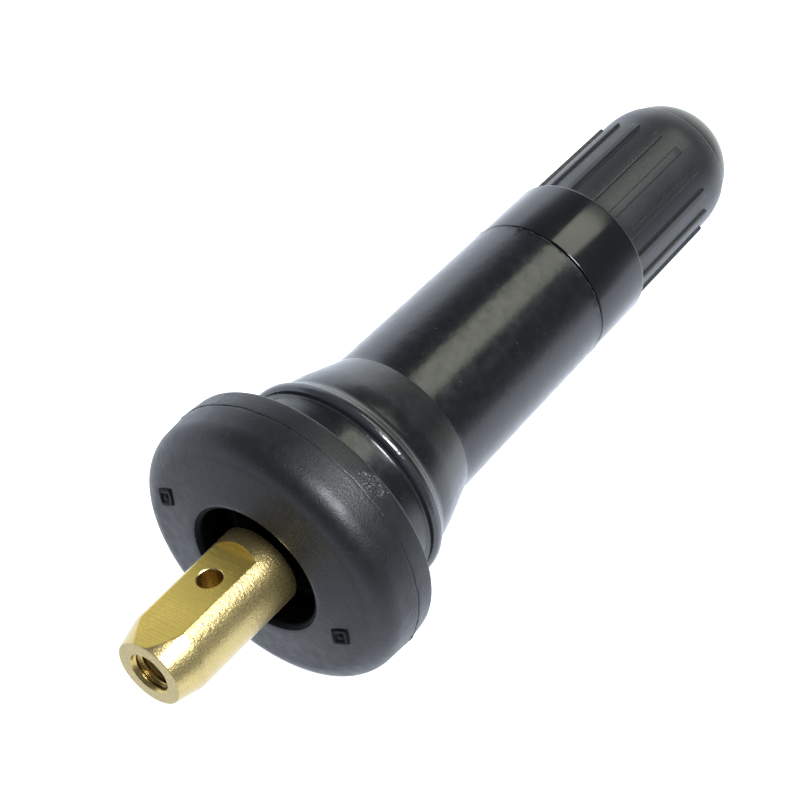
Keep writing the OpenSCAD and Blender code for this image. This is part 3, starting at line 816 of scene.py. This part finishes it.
# %% [markdown]
# The cross hole lets air out between the flats. A block of faces round it is left out on both flats, and
# rings of points lead from the block's square edge to the hole's round edge, over a small chamfer and
# straight through the brass to the other flat.

# %% Rings of the cross hole
BLOCK_HALF = 1.18
CROSS_ROWS = 9
EDGE_OUT, EDGE_MID_OUT = 0.07, 0.02
EDGE_MID_DEEP, EDGE_DEEP = 0.05, 0.1


def block_edge(rows, columns, index):
    """Point numbers round the edge of a block of the grid, in order."""
    block = index[np.ix_(rows, columns)]
    return np.concatenate([block[0, :-1], block[:-1, -1], block[-1, :0:-1], block[:0:-1, 0]])


index = numbered(stem_points)
first = ROUND_COLUMNS
mirror = 2 * ROUND_COLUMNS + FLAT_COLUMNS
tip_rows = np.flatnonzero(run[:, 0] == TIP_RUN)
rows = tip_rows[np.abs(profile[tip_rows, 0] - CROSS_X) < BLOCK_HALF]
row_y = stem_points[rows[0], first:first + FLAT_COLUMNS, 1]
near = np.flatnonzero(np.abs(row_y) < BLOCK_HALF)
low_columns = mirror + FLAT_COLUMNS - near
upper = block_edge(rows, first + near, index)
lower = block_edge(rows, low_columns, index)

edge = stem_points.reshape(-1, 3)[upper]
way = np.arctan2(edge[:, 1], edge[:, 0] - CROSS_X)
spoke = np.stack([np.cos(way), np.sin(way), 0 * way], axis=-1)
centre = np.array([CROSS_X, 0, 0])
up = np.array([0, 0, 1.0])
flat_edge = centre + spoke * (CROSS_R + EDGE_OUT) + up * FLAT_Z
rings = [edge + (flat_edge - edge) * share for share in (0.35, 0.7, 1)]
rings += [centre + spoke * (CROSS_R + EDGE_MID_OUT) + up * (FLAT_Z - EDGE_MID_DEEP)]
wall = np.linspace(FLAT_Z - EDGE_DEEP, EDGE_DEEP - FLAT_Z, CROSS_ROWS)
rings += [centre + spoke * CROSS_R + up * z for z in wall]
rings += [ring * np.array([1, 1, -1]) for ring in rings[3::-1]]
rings = np.array(rings)
print("cross hole rings:", rings.shape[:2])

# %% Stem piece


def on_a_thread(place):
    """True on the cap thread and inside the screw hole, where the waves stay soft."""
    return (place[:, 0] > rubber_end - 0.1) | ((off_axis(place) < 1.6) & (place[:, 0] < screw_foot + 0.1))


faces = grid_faces(index)
keep = np.ones(faces.shape[:2], bool)
keep[rows[0]:rows[-1], first + near[0]:first + near[-1]] = False
keep[rows[0]:rows[-1], low_columns.min():low_columns.max()] = False
ring_index = index.size + numbered(rings)
tube = grid_faces(np.vstack([upper[None], ring_index, lower[None]]))
stem_faces = np.concatenate([faces[keep], tube.reshape(-1, 4)])
all_points = np.concatenate([stem_points.reshape(-1, 3), rings.reshape(-1, 3)])
stem = make_piece("brass_stem", all_points, stem_faces, "valve", TURNED_BRASS, ["stem"],
                  crease=12, soft_where=on_a_thread)

# %% [markdown]
# The flats and the holes get the finishes of their own tools; the holes' browner brass is painted shade.
# From the relief to the cap thread the brass takes the recess's black finish: under the rubber that is the
# black bonding agent painted on before moulding, and on the neck inside the recess it is painted shade.

# %% Finishes on the stem


def on_a_flat(place):
    """True on the two milled flats."""
    over = np.abs(place[:, 2]) - FLAT_Z
    return (over > -0.006) & (over < 0.004) & (place[:, 0] < FLATS_END)


def in_a_hole(place):
    """True in the screw hole and in the cross hole."""
    along = (place[:, 0] > sensor_end + 0.05) & (place[:, 0] < screw_foot + 0.5)
    in_screw_hole = along & (off_axis(place) < SCREW_R + SCREW_ROOT + 0.03)
    in_cross_hole = np.hypot(place[:, 0] - CROSS_X, place[:, 1]) < CROSS_R + 0.01
    return in_screw_hole | in_cross_hole


def bonded_and_shaded(place):
    """True from the relief to the cap thread: bonding agent, and painted shade on the neck in the recess."""
    along = (place[:, 0] > relief_from + 0.03) & (place[:, 0] < rubber_end - 0.8)
    return along & (off_axis(place) > RELIEF_R - 0.1)


finish_where(stem, MILLED_BRASS, on_a_flat)
# Painted shade: the holes take the browner brass.
finish_where(stem, HOLE_SHADE_BRASS, in_a_hole)
# The recess's black finish on the brass: bonding agent under the rubber, painted shade on the neck.
finish_where(stem, RECESS_SHADE_RUBBER, bonded_and_shaded)

# %% [markdown]
# ## The valve core
# Inside the stem sits a small spring-loaded valve: a threaded plug with a bridge for the core tool, a
# barrel with a red sealing ring, and a pin that carries a cup with a rubber washer. A spring holds the
# cup against the barrel. The cap hides all of it, but it shows in the stem's mouth once the cap is off.

# %% Sizes of the core
tube_end, tube_top = stations("core_barrel")
ring_foot, ring_top = stations("barrel_seal")
cup_base, cup_top = stations("core_cup")
pin_foot, pin_top = stations("core_pin")
bridge_top = stations("core_plug")[1]
PLUG_TOP, PLUG_BORE_R = 32.0, 1.3
BRIDGE_HALF, BRIDGE_R, PIN_HOLE_R = 0.95, 2.1, 0.56
TUBE_R, TUBE_BORE_R, TUBE_HOLE_R, TUBE_FLANGE_R = 1.55, 1.15, 0.75, 2.1
RING_R = 2.42
SPRING_FOOT = 22.3
COLLAR_FOOT, COLLAR_W, PIN_COLLAR_R = 31.2, 0.5, 0.95
PIN_R, PIN_TIP_R, PIN_NECK = 0.5, 0.75, 0.75
CUP_R, CUP_WALL, WASHER_PROUD = 1.55, 0.25, 0.15

cup_floor, cup_bore_r = cup_base + CUP_WALL, CUP_R - CUP_WALL
washer_face = cup_top + WASHER_PROUD
collar_top = COLLAR_FOOT + COLLAR_W
pin_neck = pin_top - PIN_NECK
print(f"core from {pin_foot:.2f} to {pin_top:.2f} mm")

# %% Turned pieces of the core
CORE_COLUMNS = 96
CORE_STEP = 0.4


def turned_piece(name, corners, body, finish, node):
    """A ring or bar: a profile of corners, closed on itself or on the axis, carried round the axis."""
    outline = divide(soften(corners), CORE_STEP)
    points = spin_grid(outline[:, :1], outline[:, 1:], even_turn(CORE_COLUMNS)[None])
    return make_piece(name, points, grid_faces(numbered(points)), body, finish, [node])


turned_piece("core_tube", [(tube_end, TUBE_HOLE_R, 0), (tube_end, TUBE_R, 0.1), (ring_top, TUBE_R, 0),
                           (ring_top, TUBE_FLANGE_R, 0.05), (tube_top, TUBE_FLANGE_R, 0.05),
                           (tube_top, TUBE_BORE_R, 0), (SPRING_FOOT, TUBE_BORE_R, 0),
                           (SPRING_FOOT, TUBE_HOLE_R, 0), (tube_end, TUBE_HOLE_R, 0)],
             "valve", CORE_BRASS, "core_barrel")
turned_piece("red_ring", [(ring_foot, TUBE_R, 0), (ring_foot, CHAMBER_R, 0.05), (ring_top, RING_R, 0.05),
                          (ring_top, TUBE_R, 0), (ring_foot, TUBE_R, 0)],
             "valve", RED_SEAL, "barrel_seal")
turned_piece("pin", [(pin_foot, 0, 0), (pin_foot, PIN_TIP_R, 0.08), (cup_base, PIN_TIP_R, 0),
                     (cup_base, PIN_R, 0), (COLLAR_FOOT, PIN_R, 0), (COLLAR_FOOT, PIN_COLLAR_R, 0.06),
                     (collar_top, PIN_COLLAR_R, 0.06), (collar_top, PIN_R, 0), (pin_neck, PIN_R, 0.1),
                     (pin_neck + PIN_TIP_R - PIN_R, PIN_TIP_R, 0.08), (pin_top, PIN_TIP_R, 0.22),
                     (pin_top, 0, 0)],
             "pin", CORE_BRASS, "core_pin")
turned_piece("pin_cup", [(cup_base, PIN_R, 0), (cup_base, CUP_R, 0.15), (cup_top, CUP_R, 0.05),
                         (cup_top, cup_bore_r, 0.05), (cup_floor, cup_bore_r, 0), (cup_floor, PIN_R, 0),
                         (cup_base, PIN_R, 0)],
             "pin", CORE_BRASS, "core_cup")
turned_piece("cup_washer", [(cup_floor, PIN_R, 0), (cup_floor, cup_bore_r, 0),
                            (washer_face, cup_bore_r, 0.08), (washer_face, PIN_R, 0), (cup_floor, PIN_R, 0)],
             "pin", BLACK_SEAL, "cup_seal")

# %% [markdown]
# The plug is a threaded ring with a bridge across it. The bridge is a bar with round ends and a hole for
# the pin: its outline at each angle is the nearer of the round end and the flat side, and a small
# profile of hole, top, side and bottom is carried along that outline.

# %% Plug and its bridge
turned_piece("core_ring", [(tube_top, PLUG_BORE_R, 0), (tube_top, CORE_R, 0.15), (PLUG_TOP, CORE_R, 0.2),
                           (PLUG_TOP, PLUG_BORE_R, 0.05), (tube_top, PLUG_BORE_R, 0)],
             "valve", CORE_BRASS, "core_plug")

around = even_turn(CORE_COLUMNS)
outline = np.minimum(BRIDGE_R, BRIDGE_HALF / np.maximum(np.abs(np.sin(around)), 1e-3))
loop = soften([(PLUG_TOP, 0, 0), (PLUG_TOP, 1, 0), (bridge_top, 1, 0.1), (bridge_top, 0, 0.06),
               (PLUG_TOP, 0, 0)], 4)
bridge_r = PIN_HOLE_R + (outline[None] - PIN_HOLE_R) * loop[:, 1:]
points = spin_grid(loop[:, :1], bridge_r, around[None])
make_piece("core_bridge", points, grid_faces(numbered(points)), "valve", CORE_BRASS,
           ["core_plug"])

# %% [markdown]
# The spring is a round wire carried along a helix.

# %% Spring
SPRING_R, WIRE_R = 0.82, 0.14
SPRING_TURNS, ROWS_IN_TURN, WIRE_COLUMNS = 7, 24, 12
SPRING_GAP = 0.03


def coil(foot, top, turns):
    """Wire rings along a helix: each ring lies in the plane of the axis and the way out from it."""
    along = np.linspace(0, 1, ROWS_IN_TURN * turns + 1)[:, None]
    section = even_turn(WIRE_COLUMNS)[None]
    turn = 2 * np.pi * turns * along
    station = foot + WIRE_R + (top - foot - 2 * WIRE_R) * along + WIRE_R * np.sin(section)
    return spin_grid(station, SPRING_R + WIRE_R * np.cos(section), turn)


wire = coil(SPRING_FOOT + SPRING_GAP, COLLAR_FOOT - SPRING_GAP, SPRING_TURNS)
first_end = wire[:1].mean(axis=1, keepdims=True) + 0 * wire[:1]
last_end = wire[-1:].mean(axis=1, keepdims=True) + 0 * wire[-1:]
wire = np.concatenate([first_end, wire, last_end])
spring = make_piece("pin_spring", wire, grid_faces(numbered(wire)), "valve", SPRING_WIRE,
                    ["core_spring"], crease=60)
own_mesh(spring)

# %% [markdown]
# ## The cap
# The cap is moulded with a smooth skirt, a grip with ribs, and a stepped dome. One pitch of ribs is a
# short list of offsets from the rib's middle with a share of the rib's height; repeated round the cap it
# gives the columns, so the rib's walls are real and steep. Inside is the thread that holds the cap, on
# the same helix as the stem's.

# %% Cap values
cap_foot, cap_top, skirt_r = reach("cap_shell")
SKIRT_TOP, RIB_TOP = 27.87, 36.27
GRIP_R, GRIP_END_R = 4.85, 4.75
SHOULDER_FROM, SHOULDER_R, SHOULDER_LEN = 37.2, 5.0, 1.64
STEP_ROUND, STEP_OUT, STEP_TURN = 0.3, 0.003, 62
DOME_TOP, GATE_R = 42.4, 1.4
HOLD_FOOT, HOLD_R, HOLD_ROOT = 26.4, 3.86, 0.32
HOLLOW_R, HOLLOW_SIDE, HOLLOW_LEN = 2.7, 1.3, 2.6
CAP_RELIEF_R = 4.2
WASHER_HOLE_R, WASHER_R = 1.8, 3.83
washer_foot, hold_top = stations("cap_seal")
print(f"cap from {cap_foot:.2f} to {cap_top:.2f} mm")

# %% Columns that follow the ribs
RIB_COUNT, RIB_TURN, RIB_HEIGHT = 17, 2.5, 0.18
RIB_SIDE = np.array([(0, 1), (0.14, 1), (0.235, 1), (0.265, 0.95), (0.279, 0.8), (0.287, 0.24),
                     (0.295, 0.08), (0.32, 0), (0.5, 0), (0.72, 0)])

one_pitch = np.vstack([RIB_SIDE[:0:-1] * (-1, 1), RIB_SIDE])
pitch_turns = np.arange(RIB_COUNT) * 2 * np.pi / RIB_COUNT + math.radians(RIB_TURN)
cap_angle = (pitch_turns[:, None] + one_pitch[None, :, 0] / GRIP_R).ravel()
cap_share = np.tile(one_pitch[:, 1], RIB_COUNT)
print("cap columns:", len(cap_angle))

# %% [markdown]
# Past the ribs the grip ends in a rounded shoulder. Its far edge is rounded off on a small circle that
# leads down to the dome, and a flat disc on the dome's top is where the plastic was let in. A dome of
# known foot and height has the radius (foot squared + height squared) / (2 height). At its end a rib
# falls to the grip over a few rows, each given as a step from the rib's end and a share of its height.

# %% Shoulder and dome of the cap
shoulder_turn = math.degrees(math.asin(SHOULDER_LEN / SHOULDER_R))
shoulder = arc((SHOULDER_FROM, GRIP_END_R - SHOULDER_R), SHOULDER_R, 90, 90 - shoulder_turn, 6)
out = np.array([math.sin(math.radians(shoulder_turn)), math.cos(math.radians(shoulder_turn))])
ahead = np.array([out[1], -out[0]])
step_start = math.degrees(math.acos(1 - STEP_OUT / STEP_ROUND))
step_mid = shoulder[-1] - (STEP_ROUND - STEP_OUT) * out
step_mid = step_mid + STEP_ROUND * math.sin(math.radians(step_start)) * ahead
step = arc(step_mid, STEP_ROUND, 90 - shoulder_turn + step_start, 90 - STEP_TURN, 9)
foot_x, foot_r = step[-1]
dome_h = DOME_TOP - foot_x
dome_r = (foot_r ** 2 + dome_h ** 2) / (2 * dome_h)
foot_turn = math.degrees(math.asin(foot_r / dome_r))
gate_turn = math.degrees(math.asin(GATE_R / dome_r))
dome = arc((DOME_TOP - dome_r, 0), dome_r, foot_turn, gate_turn, 26)
gate = soften([(*dome[-1], 0), (cap_top, GATE_R, 0.05), (cap_top, 0, 0)], 4)[1:]
print(f"dome radius {dome_r:.2f} mm")

# %% Cap profile and ribs
GRIP_ROWS = np.array([[0.12], [0.5], [0.9]])
RIB_FALL = np.array([(-0.07, 1), (-0.02, 0.93), (0, 0.6), (0.006, 0.1), (0.03, 0)])

hollow_top = hold_top + HOLLOW_LEN
inside = soften([(hollow_top, 0, 0), (hollow_top, HOLLOW_R / 2, 0.2),
                 (hold_top + HOLLOW_SIDE, HOLLOW_R, 0.2), (hold_top, HOLLOW_R, 0), (hold_top, HOLD_R, 0.1),
                 (HOLD_FOOT, HOLD_R, 0)])
held = divide(inside[-2:], CAP_PITCH / ROWS_IN_PITCH)[1:]
skirt = soften([(HOLD_FOOT, HOLD_R, 0), (HOLD_FOOT, CAP_RELIEF_R, 0), (cap_foot, CAP_RELIEF_R, 0.1),
                (cap_foot, skirt_r, 0.1), (SKIRT_TOP, skirt_r, 0.3), (SKIRT_TOP, GRIP_R, 0.04),
                (RIB_TOP, GRIP_END_R, 0)])[1:-1]
grip_foot = np.array([SKIRT_TOP, GRIP_R])
grip = grip_foot + (np.array([RIB_TOP, GRIP_END_R]) - grip_foot) * GRIP_ROWS
rib_end = np.column_stack([RIB_TOP + RIB_FALL[:, 0], np.full(len(RIB_FALL), GRIP_END_R)])
runs = [inside[:-1], held, skirt, grip, rib_end, shoulder, step[1:], dome[1:], gate]
HELD_RUN, SKIRT_RUN = 1, 2
profile = np.vstack(runs)
run = np.repeat(np.arange(len(runs)), [len(r) for r in runs])[:, None]
rib_rise = np.interp(profile[:, 0], rib_end[:, 0], RIB_FALL[:, 1])
rib_rise = np.where((profile[:, 0] >= SKIRT_TOP) & (run[:, 0] >= SKIRT_RUN), rib_rise, 0)[:, None]
print("cap rows:", len(profile))

# %% Cap pieces
HOLD_FADE = 0.4

station = np.repeat(profile[:, :1], len(cap_angle), axis=1)
radius = np.repeat(profile[:, 1:], len(cap_angle), axis=1)
radius = radius + RIB_HEIGHT * rib_rise * cap_share[None] * (radius < skirt_r - 0.3)
in_hold = (run == HELD_RUN) * fade(station, HOLD_FOOT, hold_top, HOLD_FADE)
radius = radius - in_hold * HOLD_ROOT * thread_wave(station, cap_angle[None], CAP_PITCH)
cap_points = spin_grid(station, radius, cap_angle[None])


def in_the_cap(place):
    """True on the thread inside the cap, where the waves stay soft."""
    return off_axis(place) < HOLD_R + 0.02


cap = make_piece("cap_moulding", cap_points, grid_faces(numbered(cap_points)), "cap",
                 GRIP_PLASTIC, ["cap_shell"], crease=28, soft_where=in_the_cap)
finish_where(cap, SKIRT_PLASTIC, lambda place: place[:, 0] < SKIRT_TOP - 0.02)
finish_where(cap, DOME_PLASTIC, lambda place: place[:, 0] > shoulder[-1][0])
turned_piece("cap_washer", [(washer_foot, WASHER_HOLE_R, 0), (washer_foot, WASHER_R, 0.15),
                            (hold_top, WASHER_R, 0.1), (hold_top, WASHER_HOLE_R, 0.1),
                            (washer_foot, WASHER_HOLE_R, 0)],
             "cap_washer", BLACK_SEAL, "cap_seal")

# %% [markdown]
# ## Floor and light
# The photograph was taken on a white table by a window. Black rubber mirrors its surroundings, so the
# room itself can be read off the valve: the bright edges along the barrel are the white table, the
# straight pale strip along the top is a warm window, the sheen on the head is a large soft light beside
# the camera, and the dark bands between them are the dim room. The sky here is that room. Its horizon
# is tilted, because the valve lay on its side on the table. It is warmer on the window's side and dimmer
# past the cap, and it has the valve's own shadow on the table, which the head's face mirrors. The floor
# stays out of the reflections so that it can be level for every view.

# %% Floor
FLOOR_SIZE = 3.0
FLOOR_GAP = 0.1

floor_mesh = bpy.data.meshes.new("floor")
span = FLOOR_SIZE / 2
floor_z = cad_low.z - FLOOR_GAP * MM
floor_mesh.from_pydata([(-span, -span, floor_z), (span, -span, floor_z), (span, span, floor_z),
                        (-span, span, floor_z)], [], [(0, 1, 2, 3)])
floor = bpy.data.objects.new("floor", floor_mesh)
floor.visible_glossy = False
bpy.context.scene.collection.objects.link(floor)
floor_paint, _, _ = new_finish("pale_floor", Base_Color=(0.5, 0.5, 0.5, 1), Roughness=0.9,
                               Specular_IOR_Level=0.0, Emission_Color=(1, 1, 1, 1), Emission_Strength=1.0)
floor_mesh.materials.append(floor_paint)
print("floor at", round(floor_z / MM, 2), "mm")

# %% Directions in the sky
TABLE_UP = Vector((-0.13, -0.54, 0.83)).normalized()
SHADOW_WAY = Vector((-0.72, 0.45, -0.50)).normalized()
DIM_WAY = Vector((0.885, -0.43, -0.08)).normalized()
WARM_WAY = Vector((1, 0, 0))

world = bpy.data.worlds.new("studio")
bpy.context.scene.world = world
world.use_nodes = True
sky = world.node_tree


def towards(way):
    """How far the view points along a direction: 1 along it, 0 square to it, -1 away from it."""
    place = sky.nodes.new("ShaderNodeTexCoord")
    dot = sky.nodes.new("ShaderNodeVectorMath")
    dot.operation = "DOT_PRODUCT"
    dot.inputs[1].default_value = way
    sky.links.new(place.outputs["Generated"], dot.inputs[0])
    return dot.outputs["Value"]


# %% Sky with a tilted horizon
SKY_STOPS = ((0.48, (0.92, 1.0, 1.13, 1)), (0.55, (0.345, 0.38, 0.425, 1)), (0.61, (0.18, 0.20, 0.235, 1)),
             (0.70, (0.095, 0.107, 0.13, 1)), (1.0, (0.115, 0.125, 0.15, 1)))
WARM_TINT, WARM_FROM, WARM_FULL = (1.0, 0.97, 0.84, 1), 0.74, 0.9
WHITE_LIGHT = 1.7
SHADOW_SHARE, SHADOW_FROM, SHADOW_FULL = 0.2, 0.90, 0.985
DIM_SHARE, DIM_FROM, DIM_FULL = 0.4, 0.93, 0.985

ramp = sky.nodes.new("ShaderNodeValToRGB")
while len(ramp.color_ramp.elements) < len(SKY_STOPS):
    ramp.color_ramp.elements.new(0.5)
for element, (position, colour) in zip(ramp.color_ramp.elements, SKY_STOPS):
    element.position = position
    element.color = colour
sky.links.new(remap(sky, towards(TABLE_UP), -1, 1, 0, 1), ramp.inputs["Fac"])
warmth = remap(sky, towards(WARM_WAY), WARM_FROM, WARM_FULL, 0, 1)
tint = mixed(sky, warmth, ramp.outputs["Color"], WARM_TINT)
tint.node.blend_type = "MULTIPLY"
background = sky.nodes["Background"]
sky.links.new(tint, background.inputs["Color"])
shaded = remap(sky, towards(SHADOW_WAY), SHADOW_FROM, SHADOW_FULL, WHITE_LIGHT, SHADOW_SHARE * WHITE_LIGHT)
dimmed = remap(sky, towards(DIM_WAY), DIM_FROM, DIM_FULL, 1, DIM_SHARE)
strength = sky.nodes.new("ShaderNodeMath")
strength.operation = "MULTIPLY"
sky.links.new(shaded, strength.inputs[0])
sky.links.new(dimmed, strength.inputs[1])
sky.links.new(strength.outputs["Value"], background.inputs["Strength"])
print("sky with its horizon square to", [round(c, 2) for c in TABLE_UP])

# %% [markdown]
# Both lights are panels that face the valve. A panel looks as bright as its power divided by pi times
# its area, so the wanted brightness sets the power.

# %% Window and soft light


def panel(name, way, far, size, size_y, brightness, colour):
    """A rectangular light at a distance along a direction; size is its side that runs nearest to X."""
    data = bpy.data.lights.new(name, "AREA")
    data.shape = "RECTANGLE"
    data.size, data.size_y = size, size_y
    data.energy = brightness * math.pi * size * size_y
    data.color = colour
    back = Vector(way).normalized()
    along = Vector((1, 0, 0))
    along = (along - back * along.dot(back)).normalized()
    light = bpy.data.objects.new(name, data)
    turn = Matrix((along, back.cross(along), back)).transposed().to_4x4()
    light.matrix_world = Matrix.Translation(back * far) @ turn
    bpy.context.scene.collection.objects.link(light)
    print(name, "power", round(data.energy, 2))


panel("window", (0.575, -0.31, 0.72), far=2.0, size=0.60, size_y=1.06, brightness=3.6,
      colour=(0.96, 1.0, 0.82))
panel("soft_light", (0.0, -0.715, 0.70), far=0.6, size=0.36, size_y=0.21, brightness=31.0,
      colour=(0.96, 1.0, 1.06))
bpy.context.scene.view_settings.view_transform = "Standard"
